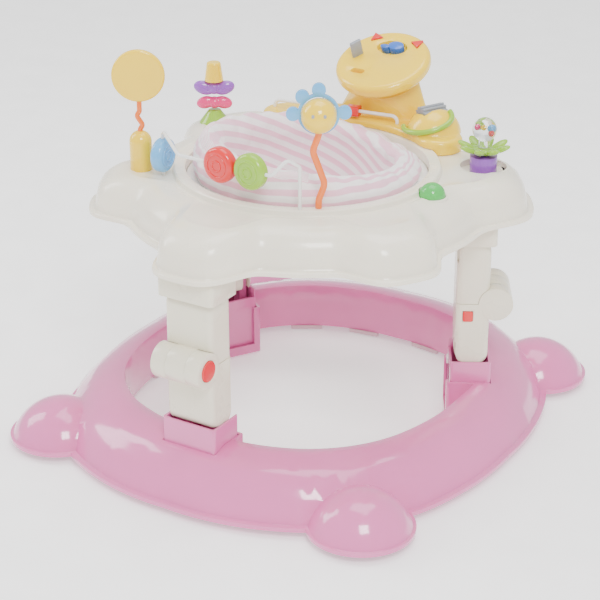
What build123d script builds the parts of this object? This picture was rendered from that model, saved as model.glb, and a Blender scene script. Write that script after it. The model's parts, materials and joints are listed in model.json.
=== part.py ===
from build123d import *
import os
from math import asin, cos, degrees, exp, pi, radians, sin

# Baby walker, millimetres.  Origin on the floor under the middle of the base.
# +Z up, +Y forward (the child faces the console), +X to the child's right.
# rear leg at 270 degrees, front right leg at 30, front left leg at 150.

# ---- driving dimensions -------------------------------------------------
BASE_HALF_WIDTH = 326.0      # flange, across
BASE_HALF_LENGTH = 358.0     # flange, along
BASE_SQUARENESS = 2.4        # exponent of the rounded outline
RING_TOP = 79.0
FLANGE_LOW = 10.0
FLANGE_THICK = 6.0
RING_WALL = 3.5
OPENING_HALF_WIDTH = 243.0
OPENING_HALF_LENGTH = 261.0

PAD_ANGLES = (58, 78, 102, 122, 185, 355, 228, 312)
LOBE_X = 245.0
LOBE_Y = 265.0
LOBE_RADIUS = 70.0
LOBE_TOP = 64.0

CASTER_WHEEL_RADIUS = 20.0
CASTER_WHEEL_WIDTH = 17.0
CASTER_TRAIL = 11.0
CASTER_TOP = 45.5            # top face of the fork's plate
STEM_RADIUS = 5.0
RUN_GAP = 0.05               # radial clearance of a pin in its hole
FREE_GAP = 0.5               # clearance between parts that slide past

LEG_CIRCLE = 245.0           # radius of the circle through the three legs
LEG_CENTRE_Y = -25.0
LEG_WIDTH = 75.0             # tangential
LEG_THICK = 47.0             # radial
LEG_ANGLES = {"rear": 270.0, "right": 30.0, "left": 150.0}
BASE_PIVOT_Z = 120.5
KNEE_Z = 196.0
KNEE_OUT = 32.0              # knee pin outward of the leg's middle
TOP_PIVOT_Z = 2 * KNEE_Z - BASE_PIVOT_Z
LEG_BOTTOM_DROP = 13.0       # leg end below its base pivot
BARREL_RADIUS = 24.0
KNUCKLE_SPLIT = 15.7         # half width of the middle knuckle with its gap
PIN_RADIUS = 4.0

GUIDE_LOW = 4.0
GUIDE_IN = -34.0             # inner face of a leg guide, from the leg's middle
GUIDE_OUT = 45.0
GUIDE_POCKET_U = 29.5
GUIDE_POCKET_T = 42.5
GUIDE_WINDOW_LOW = 18.0

SOCKET_WALL = 4.0
SOCKET_LOW = 14.0
SOCKET_FLOOR = 52.0
COLLAR_TOP = 108.0
PLATE_TOP = 95.0
PLATE_HOLES_Z = (86.0, 65.0, 44.0)
PLATE_HOLE_T = 17.5
PLATE_HOLE_RADIUS = 4.3
LUG_IN = 21.8
LUG_OUT = 33.8

BRACKET_NECK = 20.0          # bracket inside the tray
TRAY_LOW = 318.0
TRAY_TOP = 374.0
TRAY_RIM = 382.0
TRAY_RADIUS = 256.0
# scalloped lobes of the tray: angle, how far out, half width in degrees
TRAY_LOBES = ((270, 62, 13), (328, 48, 13), (212, 48, 13), (32, 59, 18), (148, 59, 18), (90, 40, 28))
SEAT_HOLE = 168.5
SEAT_LEDGE = 158.0
SEAT_RING_Z = 346.4

FLOWER_HOLE = 32.5

CONSOLE_IN = 172.0
CONSOLE_OUT = 238.0
CONSOLE_ENDS = (55.0, 131.0)
CONSOLE_TOP = 395.0
LOBE_TOY_AT = (98.0, 186.0)  # raised lobe on the console's right arm
LOBE_TOY_RADIUS = 40.0
LOBE_TOY_TOP = 427.0
ROLLER_RIGHT = (212.0, 64.5, 417.0)
ROLLER_LEFT = (213.0, 114.5, 392.0)
SWOOSH_PATH = ((60, 166, 398), (86, 146, 399), (112, 150, 404), (128, 170, 412), (118, 196, 422))
BAR_LEFT = (-152.0, 154.0, CONSOLE_TOP)
BAR_RIGHT = (42.0, 179.0, CONSOLE_TOP)
BAR_Z = 406.0
BAR_RADIUS = 2.6
BAR_BEAD_SHARE = 0.65
WHEEL_CENTRE = (0.0, 211.0, 467.0)
WHEEL_RADIUS = 70.0
WHEEL_LEAN = 22.0            # wheel plane leans towards the child

HORN_FLOOR = 1.0             # floor of a horn button's pocket, above the wheel's middle
HORN_X = 34.0
HORN_Y = 46.0
WINDOW_AT = (1.0, 29.0)
WHEEL_SLOT_AT = (-23.0, -34.0)

PADDLE_AT = (-193.6, -123.5)
HEAD_AT = (104.0, -140.0)
BUTTERFLY_AT = (-224.0, 100.0)
FLOWER_AT = (203.0, 137.0)
DOME_AT = (198.0, -4.0)
PADDLE_FACING = 32.0         # paddle disc turned towards the rear right
WIRE_RADIUS = 2.5
BEAD_BLUE_Z = 403.0
BEAD_BLUE_FACING = 6.0


# ---- shared helpers -----------------------------------------------------
def save(part, name):
    part.label = name
    export_step(part, "parts/" + name + ".step")


def polar(radius, angle):
    return (radius * cos(radians(angle)), radius * sin(radians(angle)))


def leg_centre(angle):
    x, y = polar(LEG_CIRCLE, angle)
    return (x, y + LEG_CENTRE_Y)


def leg_level(angle, z):
    """Plane at height z: its x is outward, its y tangential."""
    x, y = leg_centre(angle)
    return Plane(origin=(x, y, z), x_dir=(*polar(1, angle), 0), z_dir=(0, 0, 1))


def leg_side(angle, t=0.0):
    """Upright plane through the leg: its x is outward, its y up."""
    x, y = leg_centre(angle)
    tx, ty = polar(1, angle + 90)
    return Plane(origin=(x + t * tx, y + t * ty, 0), x_dir=(*polar(1, angle), 0), z_dir=(-tx, -ty, 0))


def leg_face(angle, u):
    """Upright plane across the leg at u outward: its x tangential, its y up."""
    x, y = leg_centre(angle)
    ox, oy = polar(1, angle)
    tx, ty = polar(1, angle + 90)
    return Plane(origin=(x + u * ox, y + u * oy, 0), x_dir=(tx, ty, 0), z_dir=(ox, oy, 0))


def rounded_points(half_width, half_length, count=24):
    """Points of the base's rounded outline."""
    points = []
    for step in range(count):
        angle = 2 * pi * step / count
        c, s = cos(angle), sin(angle)
        radius = (abs(c / half_width) ** BASE_SQUARENESS + abs(s / half_length) ** BASE_SQUARENESS)
        radius = radius ** (-1 / BASE_SQUARENESS)
        points.append((radius * c, radius * s))
    return points


def tray_points(inset, count=60):
    """Points of the scalloped tray outline, moved in by inset."""
    points = []
    for step in range(count):
        angle = 360.0 * step / count
        radius = TRAY_RADIUS - inset
        for at, out, width in TRAY_LOBES:
            away = (angle - at + 180) % 360 - 180
            radius += out * exp(-((away / width) ** 4))
        points.append(polar(radius, angle))
    return points


def prism(points, low, height):
    """Solid standing on a closed outline of arcs, two points to each arc."""
    closed = points + points[:1]
    with BuildPart() as body:
        with BuildSketch(Plane.XY.offset(low)):
            with BuildLine():
                for first in range(0, len(points), 2):
                    ThreePointArc(closed[first], closed[first + 1], closed[first + 2])
            make_face()
        extrude(amount=height)
    return body.part


def stacked(levels, outline):
    """Solid through outlines; levels is a list of (height, outline arguments)."""
    with BuildPart() as body:
        for pair in zip(levels, levels[1:]):
            for height, size in pair:
                points = outline(*size)
                closed = points + points[:1]
                with BuildSketch(Plane.XY.offset(height)):
                    with BuildLine():
                        for first in range(0, len(points), 2):
                            ThreePointArc(closed[first], closed[first + 1], closed[first + 2])
                    make_face()
            loft(ruled=True)
    return body.part


def dome(x, y, radius, low, top):
    """Cap of a ball standing on the plane z = low."""
    height = top - low
    centre = (height ** 2 - radius ** 2) / (2 * height)
    ball = height - centre
    start = degrees(asin(-centre / ball))
    with BuildPart() as body:
        with BuildSketch(Plane(origin=(x, y, low), x_dir=(1, 0, 0), z_dir=(0, -1, 0))):
            with BuildLine():
                Line((0, 0), (radius, 0))
                ThreePointArc((radius, 0), on_circle(centre, ball, (start + 90) / 2), (0, height))
                Line((0, height), (0, 0))
            make_face()
        revolve(axis=Axis((x, y, 0), (0, 0, 1)))
    return body.part


def on_circle(centre_z, radius, angle):
    """Point on a circle whose centre is (0, centre_z)."""
    return (radius * cos(radians(angle)), centre_z + radius * sin(radians(angle)))


# ---- base ---------------------------------------------------------------
def base_ring():
    w, length = BASE_HALF_WIDTH, BASE_HALF_LENGTH
    wall = RING_WALL
    step = FLANGE_LOW + FLANGE_THICK
    corners = [(sx * LOBE_X, sy * LOBE_Y) for sx in (-1, 1) for sy in (-1, 1)]
    sizes = [(step, (w - 8, length - 8)), (46.0, (w - 20, length - 20)),
             (70.0, (w - 44, length - 46)), (RING_TOP, (w - 70, length - 80))]
    inner_sizes = [(FLANGE_LOW - 1, (w - 8 - wall, length - 8 - wall)),
                   (step, (w - 8 - wall, length - 8 - wall)),
                   (44.0, (w - 21 - wall, length - 21 - wall)),
                   (67.0, (w - 46 - wall, length - 48 - wall)),
                   (RING_TOP - wall, (w - 70, length - 80))]
    skin = stacked(sizes, rounded_points)
    hollow = stacked(inner_sizes, rounded_points)
    flange = prism(rounded_points(w, length), FLANGE_LOW, FLANGE_THICK)
    opening = prism(rounded_points(OPENING_HALF_WIDTH, OPENING_HALF_LENGTH), 0, 100)
    wall_line = prism(rounded_points(OPENING_HALF_WIDTH + wall, OPENING_HALF_LENGTH + wall), 0, 100)
    domes = [dome(x, y, LOBE_RADIUS, FLANGE_LOW, LOBE_TOP) for x, y in corners]
    pockets = [dome(x, y, LOBE_RADIUS - wall, FLANGE_LOW - 1, LOBE_TOP - wall) for x, y in corners]
    guides = leg_guides(skin)
    with BuildPart() as inside:
        add(hollow)
        add(wall_line, mode=Mode.SUBTRACT)
        for pocket in pockets:
            add(pocket)
    with BuildPart() as ring:
        add(flange)
        add(skin)
        for lobe in domes:
            add(lobe)
        with BuildSketch(Plane.XY.offset(FLANGE_LOW)):
            with Locations(*corners):
                Circle(LOBE_RADIUS + 2)
        extrude(amount=FLANGE_THICK)
        add(inside.part, mode=Mode.SUBTRACT)
        add(opening, mode=Mode.SUBTRACT)
        with BuildSketch(Plane.XY.offset(CASTER_TOP)):
            with Locations(*corners):
                Circle(STEM_RADIUS + 5)
        extrude(amount=LOBE_TOP - 3 - CASTER_TOP)
        add(guides)
        with BuildSketch(Plane.XY.offset(CASTER_TOP - 5)):
            with Locations(*corners):
                Circle(STEM_RADIUS + RUN_GAP)
        extrude(amount=19, mode=Mode.SUBTRACT)
        for angle in LEG_ANGLES.values():
            with BuildSketch(leg_level(angle, GUIDE_LOW + 5)):
                Rectangle(2 * GUIDE_POCKET_U, 2 * GUIDE_POCKET_T)
            extrude(amount=RING_TOP, mode=Mode.SUBTRACT)
            with BuildSketch(leg_face(angle, GUIDE_IN - 2)):
                with Locations((0, (GUIDE_WINDOW_LOW + 100) / 2)):
                    Rectangle(2 * GUIDE_POCKET_T - 15, 100 - GUIDE_WINDOW_LOW)
            extrude(amount=12, mode=Mode.SUBTRACT)
    return ring.part


def leg_guides(skin):
    """Boxes in which the leg sockets slide, kept under the ring's outer skin."""
    middle = (GUIDE_IN + GUIDE_OUT) / 2
    depth = GUIDE_OUT - GUIDE_IN
    step = FLANGE_LOW + FLANGE_THICK
    with BuildPart() as boxes:
        for angle in LEG_ANGLES.values():
            with BuildSketch(leg_level(angle, step)):
                with Locations((middle, 0)):
                    RectangleRounded(depth, 2 * GUIDE_POCKET_T + 9, 5)
            extrude(amount=RING_TOP - step - 0.5)
        add(skin, mode=Mode.INTERSECT)
        for angle in LEG_ANGLES.values():
            with BuildSketch(leg_level(angle, GUIDE_LOW)):
                with Locations((middle, 0)):
                    RectangleRounded(depth, 2 * GUIDE_POCKET_T + 9, 5)
            extrude(amount=step - GUIDE_LOW)
    return boxes.part


def stopper_pads():
    """Grip pads under the foot of the ring's inner wall, as separate solids."""
    half_width = OPENING_HALF_WIDTH + RING_WALL / 2
    half_length = OPENING_HALF_LENGTH + RING_WALL / 2
    power = BASE_SQUARENESS
    with BuildPart() as pads:
        for angle in PAD_ANGLES:
            x, y = polar(1, angle)
            reach = (abs(x / half_width) ** power + abs(y / half_length) ** power) ** (-1 / power)
            slope_x = abs(x) ** (power - 1) / half_width ** power * (1 if x > 0 else -1)
            slope_y = abs(y) ** (power - 1) / half_length ** power * (1 if y > 0 else -1)
            foot = Plane(origin=(reach * x, reach * y, GUIDE_LOW), x_dir=(slope_x, slope_y, 0), z_dir=(0, 0, 1))
            with BuildSketch(foot):
                RectangleRounded(8, 50, 3)
            extrude(amount=FLANGE_LOW - GUIDE_LOW)
    return pads.part


def caster_fork(x, y):
    """Swivel fork: plate, stem and two cheeks round the wheel."""
    axle_y = y - CASTER_TRAIL
    top = CASTER_TOP
    with BuildPart() as fork:
        with BuildSketch(Plane.XY.offset(top - 4)):
            with BuildLine():
                Polyline((x - 13, y - 25), (x + 13, y - 25), (x + 13, y + 11), (x - 13, y + 11), close=True)
            make_face()
        extrude(amount=4)
        with BuildSketch(Plane.XY.offset(top)):
            with Locations((x, y)):
                Circle(STEM_RADIUS)
        extrude(amount=13)
        for side in (-1, 1):
            with BuildSketch(Plane(origin=(x + side * 9.4, axle_y, 0), x_dir=(0, 1, 0), z_dir=(1, 0, 0))):
                with Locations((0, CASTER_WHEEL_RADIUS)):
                    Circle(9)
                with Locations((0, (CASTER_WHEEL_RADIUS + top) / 2)):
                    Rectangle(17, top - CASTER_WHEEL_RADIUS)
            extrude(amount=side * 3.4)
        with BuildSketch(Plane(origin=(x, axle_y, CASTER_WHEEL_RADIUS), x_dir=(0, 1, 0), z_dir=(1, 0, 0))):
            Circle(3)
        extrude(amount=12, both=True)
    return fork.part


def caster_wheel(x, y):
    with BuildPart() as wheel:
        with BuildSketch(Plane(origin=(x, y - CASTER_TRAIL, CASTER_WHEEL_RADIUS), x_dir=(0, 1, 0), z_dir=(1, 0, 0))):
            Circle(CASTER_WHEEL_RADIUS)
            Circle(3 + RUN_GAP, mode=Mode.SUBTRACT)
        extrude(amount=CASTER_WHEEL_WIDTH / 2, both=True)
        fillet(wheel.edges().filter_by(GeomType.CIRCLE).group_by(SortBy.RADIUS)[-1], radius=4)
    return wheel.part


# ---- legs ---------------------------------------------------------------
def leg_socket(angle):
    """Pink socket: collar, box, inner plate with height holes and two lugs."""
    half_u = LEG_THICK / 2 + 1.2
    half_t = LEG_WIDTH / 2 + FREE_GAP
    with BuildPart() as socket:
        with BuildSketch(leg_level(angle, SOCKET_LOW)):
            RectangleRounded(2 * (half_u + SOCKET_WALL), 2 * (half_t + SOCKET_WALL), 5)
        extrude(amount=COLLAR_TOP - SOCKET_LOW)
        with BuildSketch(leg_level(angle, SOCKET_LOW - 1)):
            RectangleRounded(2 * half_u, 2 * half_t, 2)
        extrude(amount=SOCKET_FLOOR - SOCKET_LOW - 7, mode=Mode.SUBTRACT)
        with BuildSketch(leg_level(angle, SOCKET_FLOOR)):
            RectangleRounded(2 * half_u, 2 * half_t, 2)
        extrude(amount=COLLAR_TOP, mode=Mode.SUBTRACT)
        with BuildSketch(leg_level(angle, PLATE_TOP)):
            with Locations((-half_u - 3, 0)):
                Rectangle(10, 2 * half_t)
        extrude(amount=COLLAR_TOP, mode=Mode.SUBTRACT)
        for z in PLATE_HOLES_Z:
            with BuildSketch(leg_face(angle, -half_u - SOCKET_WALL - 2)):
                with Locations((PLATE_HOLE_T, z)):
                    Circle(PLATE_HOLE_RADIUS)
            extrude(amount=SOCKET_WALL + 4, mode=Mode.SUBTRACT)
        for side in (-1, 1):
            middle = side * (LUG_IN + LUG_OUT) / 2
            with BuildSketch(leg_side(angle, middle)):
                with Locations((0, BASE_PIVOT_Z)):
                    Circle(9.5)
                with Locations((0, (SOCKET_FLOOR + BASE_PIVOT_Z) / 2 - 1)):
                    Rectangle(19, BASE_PIVOT_Z - SOCKET_FLOOR + 2)
                with Locations((0, BASE_PIVOT_Z)):
                    Circle(PIN_RADIUS + RUN_GAP, mode=Mode.SUBTRACT)
            extrude(amount=(LUG_OUT - LUG_IN) / 2, both=True)
    return socket.part


def height_pin(angle):
    """White button in the plate's top hole."""
    half_u = LEG_THICK / 2 + 1.2
    with BuildPart() as pin:
        with BuildSketch(leg_face(angle, -half_u)):
            with Locations((PLATE_HOLE_T, PLATE_HOLES_Z[0])):
                Circle(PLATE_HOLE_RADIUS - RUN_GAP)
        extrude(amount=-SOCKET_WALL)
        with BuildSketch(leg_face(angle, -half_u - SOCKET_WALL)):
            with Locations((PLATE_HOLE_T, PLATE_HOLES_Z[0])):
                Circle(7)
        extrude(amount=-2.5)
    return pin.part


def lower_leg(name, angle):
    half = LEG_THICK / 2
    low = BASE_PIVOT_Z - LEG_BOTTOM_DROP
    reach = (half ** 2 - LEG_BOTTOM_DROP ** 2) ** 0.5
    top = KNEE_Z - 0.3
    with BuildPart() as leg:
        with BuildSketch(leg_side(angle)):
            with BuildLine():
                Line((-half, BASE_PIVOT_Z), (-half, top))
                Line((-half, top), (half, top))
                Line((half, top), (half, BASE_PIVOT_Z))
                ThreePointArc((half, BASE_PIVOT_Z), on_circle(BASE_PIVOT_Z, half, -17), (reach, low))
                Line((reach, low), (-reach, low))
                ThreePointArc((-reach, low), on_circle(BASE_PIVOT_Z, half, 197), (-half, BASE_PIVOT_Z))
            make_face()
        extrude(amount=LEG_WIDTH / 2, both=True)
        fillet(leg.edges().filter_by(Axis.Z), radius=8)
        for side in (-1, 1):
            with BuildSketch(leg_side(angle, side * (KNUCKLE_SPLIT + LEG_WIDTH / 2) / 2)):
                with Locations((KNEE_OUT, KNEE_Z)):
                    Circle(BARREL_RADIUS)
            extrude(amount=(LEG_WIDTH / 2 - KNUCKLE_SPLIT) / 2, both=True)
        with BuildSketch(leg_side(angle)):
            with Locations((KNEE_OUT, KNEE_Z)):
                Circle(BARREL_RADIUS + 0.6)
        extrude(amount=KNUCKLE_SPLIT, both=True, mode=Mode.SUBTRACT)
        for side in (-1, 1):
            with BuildSketch(leg_side(angle, side * (LUG_IN + LUG_OUT) / 2)):
                with Locations((-half / 2 + 8.5, BASE_PIVOT_Z)):
                    Rectangle(half + 17, 30)
            extrude(amount=(LUG_OUT - LUG_IN) / 2 + 0.4, both=True, mode=Mode.SUBTRACT)
        with BuildSketch(leg_side(angle)):
            with Locations((0, BASE_PIVOT_Z), (KNEE_OUT, KNEE_Z)):
                Circle(PIN_RADIUS + RUN_GAP)
        extrude(amount=LEG_WIDTH / 2 - 1.5, both=True, mode=Mode.SUBTRACT)
        if name == "rear":
            with BuildSketch(leg_side(angle, LEG_WIDTH / 2 - 9)):
                with Locations((KNEE_OUT, KNEE_Z)):
                    Circle(15)
            extrude(amount=-12, mode=Mode.SUBTRACT)
        else:
            side = -1 if name == "right" else 1
            with BuildSketch(leg_side(angle, side * (LEG_WIDTH / 2 - 10))):
                with Locations((-6.6, 178)):
                    Rectangle(15, 16)
            extrude(amount=-side * 12, mode=Mode.SUBTRACT)
    return leg.part


def upper_leg(angle):
    half = LEG_THICK / 2
    top = TOP_PIVOT_Z + LEG_BOTTOM_DROP
    reach = (half ** 2 - LEG_BOTTOM_DROP ** 2) ** 0.5
    low = KNEE_Z + 0.3
    with BuildPart() as leg:
        with BuildSketch(leg_side(angle)):
            with BuildLine():
                Line((-half, TOP_PIVOT_Z), (-half, low))
                Line((-half, low), (half, low))
                Line((half, low), (half, TOP_PIVOT_Z))
                ThreePointArc((half, TOP_PIVOT_Z), on_circle(TOP_PIVOT_Z, half, 17), (reach, top))
                Line((reach, top), (-reach, top))
                ThreePointArc((-reach, top), on_circle(TOP_PIVOT_Z, half, 163), (-half, TOP_PIVOT_Z))
            make_face()
        extrude(amount=LEG_WIDTH / 2 - 1, both=True)
        fillet(leg.edges().filter_by(Axis.Z), radius=8)
        with BuildSketch(leg_side(angle)):
            with Locations((KNEE_OUT, KNEE_Z)):
                Circle(BARREL_RADIUS + 0.6)
        extrude(amount=LEG_WIDTH, both=True, mode=Mode.SUBTRACT)
        with BuildSketch(leg_side(angle)):
            with Locations((KNEE_OUT, KNEE_Z)):
                Circle(BARREL_RADIUS)
            with BuildLine():
                Polyline((half, KNEE_Z + 12), (half, KNEE_Z + 34), (-half + 6, KNEE_Z + 34),
                         (-half + 6, low), (half - 3, low), close=True)
            make_face()
        extrude(amount=KNUCKLE_SPLIT - 0.4, both=True)
        for side in (-1, 1):
            with BuildSketch(leg_side(angle, side * (LUG_IN + LUG_OUT) / 2)):
                with Locations((-half / 2 + 8.5, TOP_PIVOT_Z)):
                    Rectangle(half + 17, 30)
            extrude(amount=(LUG_OUT - LUG_IN) / 2 + 0.4, both=True, mode=Mode.SUBTRACT)
        with BuildSketch(leg_side(angle)):
            with Locations((0, TOP_PIVOT_Z)):
                Circle(PIN_RADIUS + top_pivot_gap(angle))
            with Locations((KNEE_OUT, KNEE_Z)):
                Circle(PIN_RADIUS + RUN_GAP)
        extrude(amount=LEG_WIDTH / 2 - 3, both=True, mode=Mode.SUBTRACT)
    return leg.part


def top_pivot_gap(angle):
    """The front legs' top pivots are the open ones, so their holes are wider."""
    return RUN_GAP if angle == LEG_ANGLES["rear"] else 0.6


def leg_pins(angle):
    """Steel pins of the base pivot and of the knee."""
    with BuildPart() as pins:
        with BuildSketch(leg_side(angle)):
            with Locations((0, BASE_PIVOT_Z)):
                Circle(PIN_RADIUS)
        extrude(amount=LEG_WIDTH / 2 - 2, both=True)
        with BuildSketch(leg_side(angle)):
            with Locations((KNEE_OUT, KNEE_Z)):
                Circle(PIN_RADIUS)
        extrude(amount=LEG_WIDTH / 2 - 11, both=True)
    return pins.part


def top_brackets():
    """Three brackets under the tray: skirted cap, lugs and moulded pivot pin."""
    cap_low = TOP_PIVOT_Z + LEG_THICK / 2 + 1.5
    skirt_low = TOP_PIVOT_Z + LEG_BOTTOM_DROP + 0.5
    with BuildPart() as brackets:
        for angle in LEG_ANGLES.values():
            with BuildSketch(leg_level(angle, cap_low)):
                RectangleRounded(LEG_THICK + 14, LEG_WIDTH + 12, 8)
            extrude(amount=TRAY_LOW - cap_low)
            with BuildSketch(leg_level(angle, TRAY_LOW)):
                Rectangle(LEG_THICK, LEG_WIDTH - 7)
            extrude(amount=BRACKET_NECK)
            with BuildSketch(leg_level(angle, skirt_low)):
                RectangleRounded(LEG_THICK + 14, LEG_WIDTH + 12, 8)
                with Locations((-8, 0)):
                    Rectangle(LEG_THICK + 18, LEG_WIDTH + 1, mode=Mode.SUBTRACT)
            extrude(amount=cap_low - skirt_low)
            for side in (-1, 1):
                with BuildSketch(leg_side(angle, side * (LUG_IN + LUG_OUT) / 2)):
                    with Locations((0, TOP_PIVOT_Z)):
                        Circle(9.5)
                    with Locations((0, (TOP_PIVOT_Z + cap_low + 1) / 2)):
                        Rectangle(19, cap_low + 1 - TOP_PIVOT_Z)
                extrude(amount=(LUG_OUT - LUG_IN) / 2, both=True)
            with BuildSketch(leg_side(angle)):
                with Locations((0, TOP_PIVOT_Z)):
                    Circle(PIN_RADIUS)
            extrude(amount=LEG_WIDTH / 2 - 4, both=True)
    return brackets.part


def lock_button(name, angle):
    with BuildPart() as button:
        if name == "rear":
            with BuildSketch(leg_side(angle, LEG_WIDTH / 2 + 1.5)):
                with Locations((KNEE_OUT, KNEE_Z)):
                    Circle(14.4)
            extrude(amount=6)
            fillet(button.faces().sort_by(Axis.X)[-1].edges(), radius=1.2)
        else:
            side = -1 if name == "right" else 1
            with BuildSketch(leg_side(angle, side * (LEG_WIDTH / 2 + 1.5))):
                with Locations((-6.6, 178)):
                    RectangleRounded(14, 15, 2.5)
            extrude(amount=side * 7)
    return button.part


# ---- tray ---------------------------------------------------------------
def tray():
    skin = stacked([(TRAY_LOW + 6, (8,)), (352.0, (14,)), (366.0, (30,)), (TRAY_TOP, (48,))], tray_points)
    hollow = stacked([(TRAY_LOW - 1, (11.5,)), (349.0, (17.5,)), (362.5, (33,)), (370.5, (51,))], tray_points)
    flange = prism(tray_points(0), TRAY_LOW, 6)
    with BuildPart() as blocks:
        for angle in LEG_ANGLES.values():
            with BuildSketch(leg_level(angle, TRAY_LOW + BRACKET_NECK)):
                Rectangle(LEG_THICK, LEG_WIDTH - 7)
            extrude(amount=TRAY_TOP - 2 - TRAY_LOW - BRACKET_NECK)
        add(skin, mode=Mode.INTERSECT)
    with BuildPart() as inside:
        add(hollow)
        with BuildSketch(Plane.XY.offset(TRAY_LOW - 2)):
            Circle(SEAT_HOLE + 4)
        extrude(amount=100, mode=Mode.SUBTRACT)
    with BuildPart() as shell:
        add(flange)
        add(skin)
        with BuildSketch(Plane.XY.offset(TRAY_LOW)):
            Circle(SEAT_HOLE + 17)
        extrude(amount=TRAY_RIM - TRAY_LOW)
        add(inside.part, mode=Mode.SUBTRACT)
        with BuildSketch(Plane.XY.offset(TRAY_LOW - 1)):
            Circle(SEAT_HOLE)
        extrude(amount=100, mode=Mode.SUBTRACT)
        with BuildSketch(Plane.XY.offset(SEAT_RING_Z - 6.4)):
            Circle(SEAT_HOLE + 2)
            Circle(SEAT_LEDGE, mode=Mode.SUBTRACT)
        extrude(amount=6)
        add(blocks.part)
        with BuildSketch(Plane.XY.offset(TRAY_TOP - 12)):
            with Locations(FLOWER_AT):
                Circle(FLOWER_HOLE + 3)
        extrude(amount=10)
        with BuildSketch(Plane.XY.offset(TRAY_TOP - 14)):
            with Locations(DOME_AT):
                Circle(22)
        extrude(amount=10)
        with BuildSketch(Plane.XY.offset(TRAY_TOP - 8)):
            with Locations(FLOWER_AT):
                Circle(FLOWER_HOLE)
            with Locations(DOME_AT):
                Circle(18.6)
        extrude(amount=30, mode=Mode.SUBTRACT)
        with BuildSketch(Plane.XY.offset(TRAY_TOP - 20)):
            with Locations(FLOWER_AT, BUTTERFLY_AT):
                Circle(6 + RUN_GAP)
            with Locations(DOME_AT):
                Circle(16)
        extrude(amount=20, mode=Mode.SUBTRACT)
    return shell.part


# ---- seat ---------------------------------------------------------------
def seat_ring():
    with BuildPart() as ring:
        with BuildSketch(Plane.XY.offset(SEAT_RING_Z)):
            Circle(SEAT_HOLE - 1)
            Circle(150, mode=Mode.SUBTRACT)
        extrude(amount=22)
        with BuildSketch(Plane.XY.offset(SEAT_RING_Z + 5)):
            Circle(SEAT_HOLE + 1)
            Circle(162, mode=Mode.SUBTRACT)
        extrude(amount=4, mode=Mode.SUBTRACT)
    return ring.part


def seat_cloth():
    """Padded collar and hanging bucket with two leg holes."""
    with BuildPart() as cloth:
        with BuildSketch(Plane.XZ):
            with BuildLine():
                Line((150, 352), (150, 368.4))
                Line((150, 368.4), (160, 368.4))
                Spline((160, 368.4), (161, 392), (152, 420), (142, 443))
                Spline((142, 443), (132, 446), (124, 438), (119, 420))
                Spline((119, 420), (124, 380), (118, 320), (96, 262))
                Line((96, 262), (0, 250))
                Line((0, 250), (0, 240))
                Line((0, 240), (102, 250))
                Spline((102, 250), (130, 315), (139, 352))
                Line((139, 352), (150, 352))
            make_face()
        revolve(axis=Axis.Z)
        for side in (-1, 1):
            with BuildSketch(Plane.XY.offset(230)):
                with Locations((side * 52, 10)):
                    Circle(40)
            extrude(amount=50, mode=Mode.SUBTRACT)
        with BuildSketch(Plane.YZ):
            with BuildLine():
                Polyline((-200, 440), (-150, 433.5), (165, 392), (200, 392), (200, 470), (-200, 470), close=True)
            make_face()
        extrude(amount=200, both=True, mode=Mode.SUBTRACT)
    turned = cloth.part.rotate(Axis.Z, -45)
    return turned


# ---- console ------------------------------------------------------------
def arc_end(middle, half, angle, sign):
    """Point at the round end of a ring sector."""
    x, y = polar(middle, angle)
    tx, ty = polar(half * sign, angle + 90)
    return (x + tx, y + ty)


def wheel_plane(up=0.0):
    """Plane of the steering wheel, leaning towards the child."""
    lean = radians(WHEEL_LEAN)
    normal = (0, -sin(lean), cos(lean))
    origin = (WHEEL_CENTRE[0] + up * normal[0], WHEEL_CENTRE[1] + up * normal[1], WHEEL_CENTRE[2] + up * normal[2])
    return Plane(origin=origin, x_dir=(1, 0, 0), z_dir=normal)


def console():
    """Low crescent over the tray's rim, a lobe on its right arm and the wheel's hood."""
    start, end = CONSOLE_ENDS
    middle = (CONSOLE_IN + CONSOLE_OUT) / 2
    half = (CONSOLE_OUT - CONSOLE_IN) / 2
    cap = dome(*LOBE_TOY_AT, LOBE_TOY_RADIUS, CONSOLE_TOP - 5, LOBE_TOY_TOP)
    with BuildPart() as body:
        with BuildSketch(Plane.XY.offset(TRAY_TOP)):
            with BuildLine():
                ThreePointArc(polar(CONSOLE_OUT, start), polar(CONSOLE_OUT, 90), polar(CONSOLE_OUT, end))
                ThreePointArc(polar(CONSOLE_OUT, end), arc_end(middle, half, end, 1), polar(CONSOLE_IN, end))
                ThreePointArc(polar(CONSOLE_IN, end), polar(CONSOLE_IN, 90), polar(CONSOLE_IN, start))
                ThreePointArc(polar(CONSOLE_IN, start), arc_end(middle, half, start, -1), polar(CONSOLE_OUT, start))
            make_face()
        extrude(amount=CONSOLE_TOP - TRAY_TOP)
        fillet(body.faces().sort_by(Axis.Z)[-1].edges(), radius=7)
        with BuildSketch(Plane.XY.offset(TRAY_TOP - 1)):
            Circle(SEAT_HOLE + 17.3)
        extrude(amount=TRAY_RIM + 1.3 - TRAY_TOP, mode=Mode.SUBTRACT)
        add(cap)
        with BuildSketch(Plane.XY.offset(CONSOLE_TOP - 8)):
            with Locations((0, 217)):
                Ellipse(78, 26)
        with BuildSketch(wheel_plane(-23)):
            Circle(46)
        loft()
        with BuildSketch(wheel_plane(-26)):
            Circle(9 + RUN_GAP)
        extrude(amount=20, mode=Mode.SUBTRACT)
        for side in (-1, 1):
            with BuildSketch(roller_plane(side)):
                Rectangle(44, 27)
            extrude(amount=13, mode=Mode.SUBTRACT, both=True)
    return body.part


def roller_plane(side):
    """Plane through a roller's middle: its x runs along the roller."""
    out, angle, z = ROLLER_RIGHT if side > 0 else ROLLER_LEFT
    return Plane(origin=(*polar(out, angle), z), x_dir=(*polar(1, angle), 0), z_dir=(0, 0, 1))


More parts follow.
